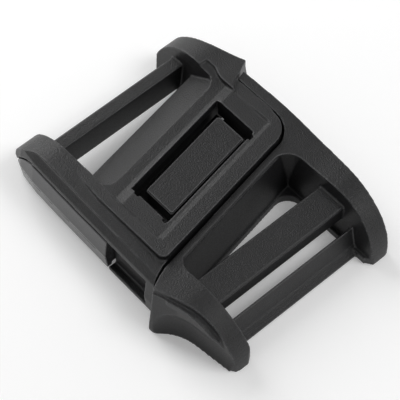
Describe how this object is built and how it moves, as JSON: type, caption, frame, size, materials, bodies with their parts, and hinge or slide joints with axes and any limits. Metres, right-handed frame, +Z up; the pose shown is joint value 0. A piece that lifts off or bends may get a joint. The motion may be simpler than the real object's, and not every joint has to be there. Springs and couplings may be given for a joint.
{
  "type": "strap buckle slider",
  "caption": "Two-half slide-release strap buckle with diagonal seam, window catch, side lever, plain strap bar and ribbed adjuster bars for webbing.",
  "frame": {"origin": "centre of the footprint on the plane that the buckle lies on", "axes": "+X along the strap from the socket half to the plug half, +Y across the strap towards the socket's ear, +Z up out of the raised panel"},
  "size_m": [0.0528, 0.0418, 0.0109],
  "materials": {
    "nylon": "fine-grained matte black nylon",
    "nylon_lever": "smooth satin black nylon",
    "steel": "bright drawn steel",
    "magnet": "nickel-plated"
  },
  "bodies": {
    "plug": {"plug_frame": "nylon", "catch_block": "nylon", "plug_magnet_near": "magnet", "plug_magnet_far": "magnet", "plug_cover": "nylon"},
    "socket": {"socket_housing": "nylon", "magnet_cover": "nylon", "lever_cover": "nylon", "socket_magnet_near": "magnet", "socket_magnet_far": "magnet", "lever_pin": "steel", "lever_spring": "steel"},
    "lever": {"release_lever": "nylon_lever"}
  },
  "joints": [
    {"name": "socket_release", "type": "slide", "parent": "plug", "child": "socket", "axis": [0.0734, -0.4162, 0.9063], "range_m": [0, 0.014]},
    {"name": "lever_press", "type": "hinge", "parent": "socket", "child": "lever", "pos_m": [-0.01935, -0.01535, 0.004], "axis": [0, 0, 1], "range_deg": [0, 3], "stiffness_Nm_per_rad": 0.4, "deforming": ["lever_spring"]}
  ]
}
